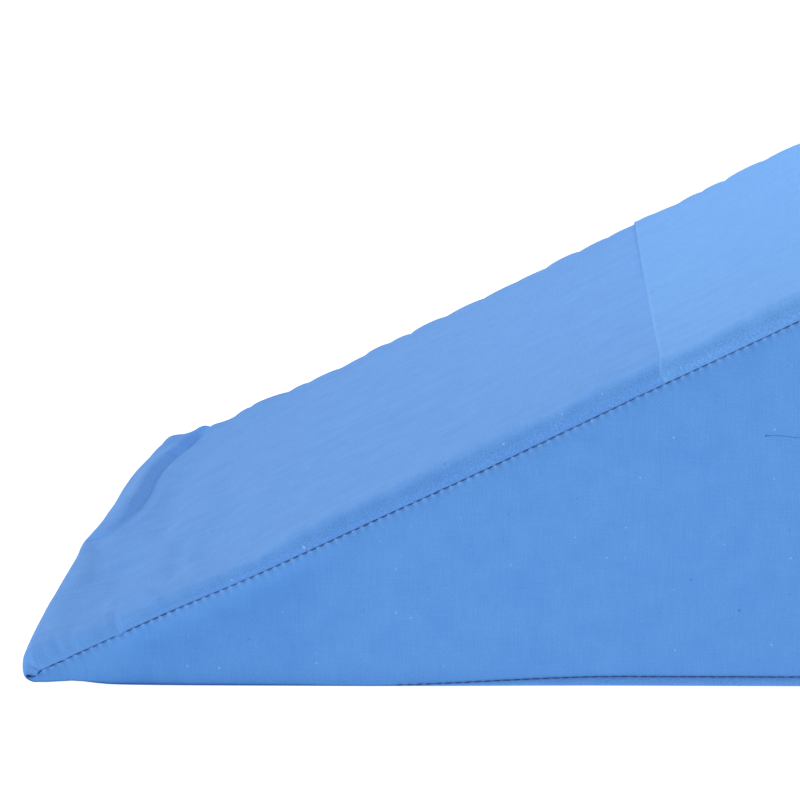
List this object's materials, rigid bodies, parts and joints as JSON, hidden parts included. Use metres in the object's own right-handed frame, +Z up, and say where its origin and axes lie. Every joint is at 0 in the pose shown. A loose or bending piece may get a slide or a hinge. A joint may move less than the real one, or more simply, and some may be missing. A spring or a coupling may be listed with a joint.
{
  "type": "wedge-shaped positioning cushion",
  "caption": "Foam-filled wedge cushion in a blue woven cover, with a sloped top, a thin nose and sewn-in triangular sides.",
  "frame": {"origin": "centre of the base, on the surface that the cushion rests on", "axes": "+X from the thin nose to the thick end, +Y from the near side to the far side, +Z up"},
  "size_m": [0.4998, 0.3998, 0.2389],
  "materials": {
    "wrap_cloth": "matt plain-woven cover cloth in mid blue, lightly creased",
    "side_cloth": "the same cloth in the side panels, a little deeper in tone, with slubs and lint"
  },
  "bodies": {
    "root": {"wrap_body": "wrap_cloth", "side_panel_near": "side_cloth", "side_panel_far": "side_cloth"}
  },
  "joints": []
}
